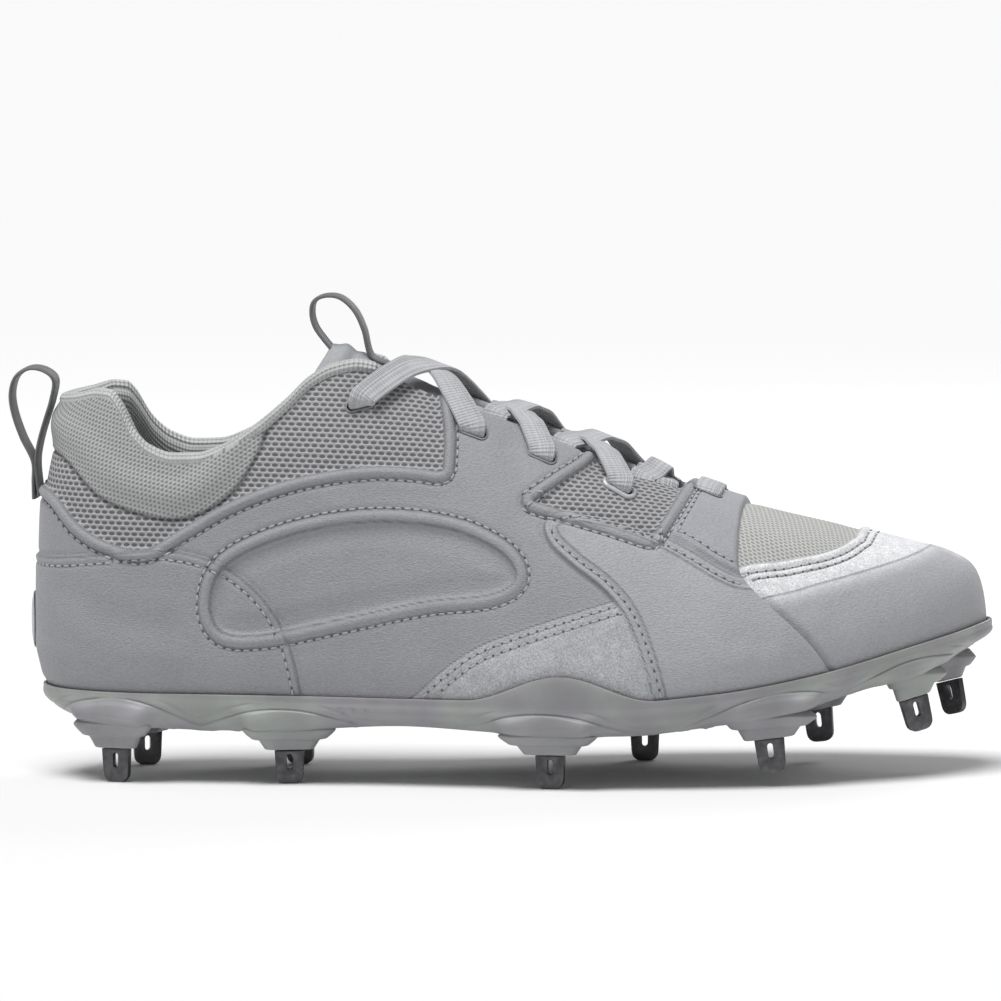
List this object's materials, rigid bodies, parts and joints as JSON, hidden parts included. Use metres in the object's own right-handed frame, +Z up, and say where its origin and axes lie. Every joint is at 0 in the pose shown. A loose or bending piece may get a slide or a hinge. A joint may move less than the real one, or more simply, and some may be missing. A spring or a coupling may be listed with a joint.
{
  "type": "baseball cleat",
  "caption": "Low baseball cleat for the right foot: hollow lasted upper with overlays, padded collar, tongue and flat laces on a moulded plate with steel blade studs.",
  "frame": {"origin": "centre of the whole shoe's box in plan, on the ground plane that the studs stand on", "axes": "+X from heel to toe, +Y to the medial side, -Y to the lateral side, +Z up from the ground"},
  "size_m": [0.308, 0.1018, 0.1522],
  "materials": {
    "plate": "translucent grey moulded thermoplastic with a soft gloss",
    "mesh_textile": "light grey open mesh over a pale backing",
    "overlay_synthetic": "cool grey synthetic leather with a fine grain and low sheen",
    "insole_foam": "grey brushed textile over foam",
    "collar_textile": "fine grey mesh over foam with a knitted lining",
    "tongue_textile": "grey mesh over foam",
    "lace_knit": "flat knitted polyester lace",
    "loop_webbing": "woven ribbon",
    "badge_plastic": "plain soft-touch plastic",
    "stud_steel": "dark heat-treated steel blades with worn bright edges"
  },
  "bodies": {
    "root": {"outsole": "plate", "upper": "mesh_textile", "quarter_overlay": "overlay_synthetic", "toe_overlay": "overlay_synthetic", "insole": "insole_foam", "collar_padding": "collar_textile", "tongue": "tongue_textile", "lace_bar": "lace_knit", "lace_crossing_1": "lace_knit", "lace_crossing_2": "lace_knit", "lace_crossing_3": "lace_knit", "lace_crossing_4": "lace_knit", "heel_pull_loop": "loop_webbing", "tongue_pull_loop": "loop_webbing", "heel_badge": "badge_plastic", "stud_heel_rear_lateral": "stud_steel", "stud_heel_rear_medial": "stud_steel", "stud_heel_front_lateral": "stud_steel", "stud_heel_front_medial": "stud_steel", "stud_ball_rear_lateral": "stud_steel", "stud_ball_rear_medial": "stud_steel", "stud_ball_front_lateral": "stud_steel", "stud_ball_front_medial": "stud_steel", "stud_toe_lateral": "stud_steel", "stud_toe_medial": "stud_steel"}
  },
  "joints": []
}
